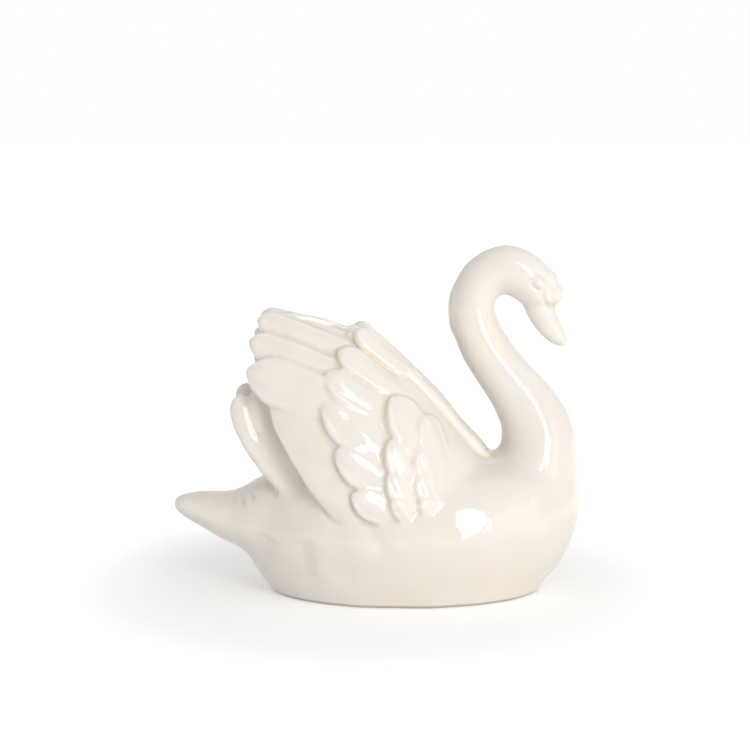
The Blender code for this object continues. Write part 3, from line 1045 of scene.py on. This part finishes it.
class Wiring:
    """Adds nodes to one tree and links them."""

    def __init__(self, tree: bpy.types.NodeTree) -> None:
        """Takes the tree to wire."""
        self.tree = tree

    def add(
        self, kind: str, values: dict[str | int, object] | None = None, **settings: object
    ) -> bpy.types.Node:
        """Adds a node.

        Args:
            kind: its type in Blender.
            values: values or sources for its input sockets, by name or number.
            settings: its own properties.

        Returns:
            The node.
        """
        node = self.tree.nodes.new(kind)
        for name, value in settings.items():
            setattr(node, name, value)
        self.feed(node, values or {})
        return node

    def feed(self, node: bpy.types.Node, values: dict[str | int, object]) -> None:
        """Links a node's inputs, by name or number, to sources or sets them to values."""
        for key, value in values.items():
            if isinstance(value, bpy.types.NodeSocket):
                self.tree.links.new(value, node.inputs[key])
            else:
                node.inputs[key].default_value = value

    def mix_colour(self, share: object, first: object, second: object) -> bpy.types.NodeSocket:
        """Mixes two colours by a share and gives the result's socket."""
        # A mix node's sockets for colours come after those for numbers and vectors
        node = self.add("ShaderNodeMix", {0: share, 6: first, 7: second}, data_type="RGBA")
        return node.outputs[2]

    def ramp(self, value: bpy.types.NodeSocket, span: Pair, to: Pair) -> bpy.types.NodeSocket:
        """Maps a value from one span to another, eased at both ends."""
        values = {0: value, 1: span[0], 2: span[1], 3: to[0], 4: to[1]}
        node = self.add("ShaderNodeMapRange", values, interpolation_type="SMOOTHSTEP")
        return node.outputs[0]

    def sum(self, first: object, second: object) -> bpy.types.NodeSocket:
        """Adds two values and gives the result's socket, held between 0 and 1."""
        node = self.add("ShaderNodeMath", {0: first, 1: second}, operation="ADD", use_clamp=True)
        return node.outputs[0]


@dataclass(frozen=True)
class Mottle:
    """The uneven tone that fired glaze and studio paper share."""

    name: str = "soft_mottle"
    # Scale, detail and roughness of each noise
    broad: Triple = (42.0, 2.0, 0.45)
    fine: Triple = (310.0, 3.0, 0.5)
    scatter: Triple = (130.0, 1.0, 0.5)
    scatter_span: Pair = (0.60, 0.68)
    dot_scale: float = 260.0
    dot_radii: Pair = (0.03, 0.085)

    def group(self) -> bpy.types.NodeTree:
        """Builds the group, once for all materials.

        Returns:
            The group. It takes a place, and puts out broad clouds, fine clouds and specks.
        """
        if self.name in bpy.data.node_groups:
            return bpy.data.node_groups[self.name]
        group = bpy.data.node_groups.new(self.name, "ShaderNodeTree")
        group.interface.new_socket("Place", in_out="INPUT", socket_type="NodeSocketVector")
        for output in ("Broad", "Fine", "Specks"):
            group.interface.new_socket(output, in_out="OUTPUT", socket_type="NodeSocketFloat")
        wiring = Wiring(group)
        place = wiring.add("NodeGroupInput").outputs["Place"]
        clouds = []
        for scale, detail, roughness in (self.broad, self.fine, self.scatter):
            values = {"Vector": place, "Scale": scale, "Detail": detail, "Roughness": roughness}
            clouds.append(wiring.add("ShaderNodeTexNoise", values).outputs["Fac"])
        broad, fine, scatter = clouds
        dots = wiring.add("ShaderNodeTexVoronoi", {"Vector": place, "Scale": self.dot_scale})
        near = wiring.ramp(dots.outputs["Distance"], self.dot_radii, (1.0, 0.0))
        rare = wiring.ramp(scatter, self.scatter_span, (0.0, 1.0))
        specks = wiring.add("ShaderNodeMath", {0: near, 1: rare}, operation="MULTIPLY")
        results = {"Broad": broad, "Fine": fine, "Specks": specks.outputs[0]}
        wiring.add("NodeGroupOutput", results)
        return group


def start_material(
    name: str,
) -> tuple[bpy.types.Material, Wiring, bpy.types.NodeSocket, bpy.types.Node]:
    """Makes a material that holds the mottle.

    Args:
        name: the material's name.

    Returns:
        The material, its wiring, the place on the object and the mottle's node.
    """
    material = bpy.data.materials.new(name)
    material.use_nodes = True
    wiring = Wiring(material.node_tree)
    place = wiring.add("ShaderNodeTexCoord").outputs["Object"]
    mottle = wiring.add("ShaderNodeGroup", {"Place": place}, node_tree=Mottle().group())
    return material, wiring, place, mottle


@dataclass(frozen=True)
class GlazedPorcelain:
    """Ivory glaze over white porcelain, wiped off at the foot.

    Its colour is darker and warmer in hollows, partly as pooled glaze and partly as painted shade,
    lighter on ridges, partly as thinner glaze and partly as painted light, and a darker tan on the
    bare foot, partly as the unglazed body and partly as a painted contact shadow along the base.
    """

    name: str = "glazed_porcelain"
    glaze: Colour = (0.872, 0.818, 0.748, 1)
    # Lighter tone for ridges: partly thinner glaze, partly painted light on the edges
    thin_glaze_and_light: Colour = (0.900, 0.860, 0.806, 1)
    # Darker, warmer tone for hollows: partly glaze that pools there, partly painted shade in the
    # creases
    pooled_glaze_and_shade: Colour = (0.795, 0.700, 0.580, 1)
    cream: Colour = (0.872, 0.800, 0.718, 1)
    speck: Colour = (0.62, 0.52, 0.40, 1)
    # Darker tan for the bare foot: partly the unglazed body, partly a painted contact shadow along
    # the base
    bisque_and_contact_shadow: Colour = (0.62, 0.57, 0.50, 1)
    # Spans of the marks, of the clouds and of the fine clouds, and the most that each adds
    hollow_span: Pair = (0.53, 0.80)
    hollow_most: float = 0.85
    ridge_span: Pair = (0.47, 0.22)
    ridge_most: float = 0.8
    cloud_span: Pair = (0.38, 0.66)
    speck_most: float = 0.16
    gloss_span: Pair = (0.35, 0.70)
    gloss: Pair = (0.045, 0.085)
    bisque_roughness: float = 0.62
    bare_height: float = 0.0005
    glazed_height: float = 0.0010
    ripple_depth: float = 0.00003
    ripple_strength: float = 0.35
    ior: float = 1.52

    def material(self, attribute: str) -> bpy.types.Material:
        """Builds the material.

        Args:
            attribute: the name of the attribute that marks the hollows.

        Returns:
            The material.
        """
        material, wiring, place, mottle = start_material(self.name)
        bend = wiring.add("ShaderNodeAttribute", attribute_name=attribute).outputs["Fac"]
        height = wiring.add("ShaderNodeSeparateXYZ", {0: place}).outputs["Z"]
        # Mask of the hollows, where the colour turns to pooled glaze and painted shade
        hollow = wiring.ramp(bend, self.hollow_span, (0.0, self.hollow_most))
        # Mask of the ridges, where the colour turns lighter: thinner glaze and painted light
        ridge = wiring.ramp(bend, self.ridge_span, (0.0, self.ridge_most))
        clouds = wiring.ramp(mottle.outputs["Broad"], self.cloud_span, (0.0, 1.0))
        specks = wiring.ramp(mottle.outputs["Specks"], (0.0, 1.0), (0.0, self.speck_most))
        glazed = wiring.ramp(height, (self.bare_height, self.glazed_height), (0.0, 1.0))
        tone = wiring.mix_colour(clouds, self.glaze, self.cream)
        # Painted light: ridges lightened, partly as thinner glaze
        tone = wiring.mix_colour(ridge, tone, self.thin_glaze_and_light)
        # Painted shade: hollows darkened and warmed, partly as pooled glaze
        tone = wiring.mix_colour(hollow, tone, self.pooled_glaze_and_shade)
        tone = wiring.mix_colour(specks, tone, self.speck)
        # Painted shadow: the bare foot darkened to a tan line along the base, partly the unglazed
        # body
        tone = wiring.mix_colour(glazed, self.bisque_and_contact_shadow, tone)
        gloss = wiring.ramp(mottle.outputs["Fine"], self.gloss_span, self.gloss)
        rough = wiring.add("ShaderNodeMix", {0: glazed, 2: self.bisque_roughness, 3: gloss})
        ripple = {
            "Strength": self.ripple_strength,
            "Distance": self.ripple_depth,
            "Height": mottle.outputs["Fine"],
        }
        bump = wiring.add("ShaderNodeBump", ripple)
        inputs = {
            "Base Color": tone,
            "Roughness": rough.outputs[0],
            "Normal": bump.outputs[0],
            "IOR": self.ior,
        }
        wiring.feed(wiring.tree.nodes["Principled BSDF"], inputs)
        return material


@dataclass(frozen=True)
class StudioPaper:
    """Matt white paper under the figurine, which keeps its shadow on a white ground."""

    name: str = "studio_paper"
    light_tone: Colour = (0.92, 0.92, 0.92, 1)
    dark_tone: Colour = (0.89, 0.89, 0.885, 1)
    # Painted shade: the glow is weakest near the figurine, so the paper is darker around it
    near_lift: float = 0.27
    far_lift: float = 1.0
    near_radius: float = 0.045
    far_radius: float = 0.15
    roughness: float = 0.9
    specular: float = 0.1

    def material(self) -> bpy.types.Material:
        """Builds the material, whose lift shows only in pictures and reflections of the paper.

        The lift is weak near the figurine and full further out, which paints the paper darker
        around the figurine and white beyond.
        """
        material, wiring, place, mottle = start_material(self.name)
        tone = wiring.mix_colour(mottle.outputs["Fine"], self.light_tone, self.dark_tone)
        radius = wiring.add("ShaderNodeVectorMath", {0: place}, operation="LENGTH").outputs["Value"]
        span = (self.near_radius, self.far_radius)
        # Painted shade and light: a glow that rises from near_lift beside the figurine to far_lift
        # further out
        lift = wiring.ramp(radius, span, (self.near_lift, self.far_lift))
        values = {0: seen_rays(wiring), 1: lift}
        strength = wiring.add("ShaderNodeMath", values, operation="MULTIPLY")
        inputs = {
            "Base Color": tone,
            "Roughness": self.roughness,
            "Specular IOR Level": self.specular,
            "Emission Color": (1, 1, 1, 1),
            "Emission Strength": strength.outputs[0],
        }
        wiring.feed(wiring.tree.nodes["Principled BSDF"], inputs)
        return material


def seen_rays(wiring: Wiring) -> bpy.types.NodeSocket:
    """Gives 1 for rays from the camera and for reflected and refracted ones, and 0 for the rest."""
    rays = wiring.add("ShaderNodeLightPath").outputs
    seen = wiring.sum(rays["Is Camera Ray"], rays["Is Glossy Ray"])
    return wiring.sum(seen, rays["Is Transmission Ray"])


# Studio


@dataclass(frozen=True)
class Softbox:
    """A soft rectangular lamp that looks at the figurine, mirrored in the glaze or not."""

    name: str
    azimuth: float
    elevation: float
    distance: float
    width: float
    height: float
    watts: float
    mirrored: bool = True

    def place(self, target: Vector) -> None:
        """Sets the lamp up around the target, which it looks at."""
        lamp = bpy.data.lights.new(self.name, "AREA")
        lamp.shape = "RECTANGLE"
        lamp.size = self.width
        lamp.size_y = self.height
        lamp.energy = self.watts
        body = add_object(self.name, lamp)
        direction = towards(self.azimuth, self.elevation)
        body.location = target + direction * self.distance
        body.rotation_euler = (-direction).to_track_quat("-Z", "Y").to_euler()
        body.visible_camera = False
        body.visible_glossy = self.mirrored


def towards(azimuth: float, elevation: float) -> Vector:
    """Gives the direction from the object to a place around it, with azimuth 0 in front."""
    a, e = math.radians(azimuth), math.radians(elevation)
    return Vector((math.sin(a) * math.cos(e), -math.cos(a) * math.cos(e), math.sin(e)))


@dataclass
class Studio:
    """The floor, the lamps, the surroundings and the camera."""

    target: Triple = (-0.0006, 0.0, 0.05315)
    camera_elevation: float = 8.5
    camera_distance: float = 0.47
    lens: float = 92.5
    sensor: float = 36.0
    clip_start: float = 0.01
    floor_radius: float = 4.0
    floor_sides: int = 64
    ambient: Pair = (0.46, 0.82)
    bright_side: Triple = (0.70, -0.55, -0.45)
    # Name, azimuth and elevation in degrees, distance, width, height, watts
    softboxes: tuple[Softbox, ...] = (
        Softbox("window", 25, 15, 1.2, 0.23, 0.95, 4.0),
        Softbox("window_wing", 34.5, 8, 1.2, 0.09, 0.5, 0.8),
        Softbox("side_window", 54, 6, 1.2, 0.5, 0.8, 1.3),
        Softbox("low_fill", 5, 3, 0.7, 0.9, 0.10, 0.3, mirrored=False),
    )

    def lay_floor(self) -> None:
        sheet = bmesh.new()
        sides, radius = self.floor_sides, self.floor_radius
        bmesh.ops.create_circle(sheet, cap_ends=True, segments=sides, radius=radius)
        mesh = finish_mesh("floor", sheet)
        mesh.materials.append(StudioPaper().material())
        floor = add_object("floor", mesh)

    def light_surroundings(self) -> None:
        """Makes the surroundings white where they are seen, and dim where they only give light."""
        world = bpy.data.worlds.new("studio")
        world.use_nodes = True
        wiring = Wiring(world.node_tree)
        background = world.node_tree.nodes["Background"]
        background.inputs["Color"].default_value = (1, 1, 1, 1)
        direction = wiring.add("ShaderNodeTexCoord").outputs["Generated"]
        values = {0: direction, 1: self.bright_side}
        share = wiring.add("ShaderNodeVectorMath", values, operation="DOT_PRODUCT").outputs["Value"]
        values = {0: share, 1: -1.0, 2: 1.0, 3: self.ambient[0], 4: self.ambient[1]}
        ambient = wiring.add("ShaderNodeMapRange", values).outputs[0]
        values = {0: seen_rays(wiring), 1: 0.0, 2: 1.0, 3: ambient, 4: 1.0}
        strength = wiring.add("ShaderNodeMapRange", values)
        wiring.tree.links.new(strength.outputs[0], background.inputs["Strength"])
        bpy.context.scene.world = world

    def place_camera(self) -> None:
        """Sets the camera at the picture's angle."""
        data = bpy.data.cameras.new("camera")
        data.lens = self.lens
        data.sensor_width = self.sensor
        data.clip_start = self.clip_start
        camera = add_object("camera", data)
        direction = towards(0, self.camera_elevation)
        camera.location = Vector(self.target) + direction * self.camera_distance
        camera.rotation_euler = (-direction).to_track_quat("-Z", "Y").to_euler()
        bpy.context.scene.camera = camera

    def build(self) -> None:
        """Sets up the whole studio."""
        self.lay_floor()
        for softbox in self.softboxes:
            softbox.place(Vector(self.target))
            LOG.info("lamp %s set", softbox.name)
        self.light_surroundings()
        self.place_camera()
        bpy.context.scene.view_settings.view_transform = "Standard"


def main() -> None:
    """Builds the swan and the studio around it."""
    logging.basicConfig(level=logging.INFO, format="%(name)s: %(message)s")
    swan = Swan().build(carved_lines())
    LOG.info("%s: %d faces", swan.name, len(swan.data.polygons))
    marks = BendMarks()
    marks.mark(swan)
    swan.data.materials.append(GlazedPorcelain().material(marks.attribute))
    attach(swan, "root")
    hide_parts("swan_figurine")
    Studio().build()


if __name__ == "__main__":
    main()
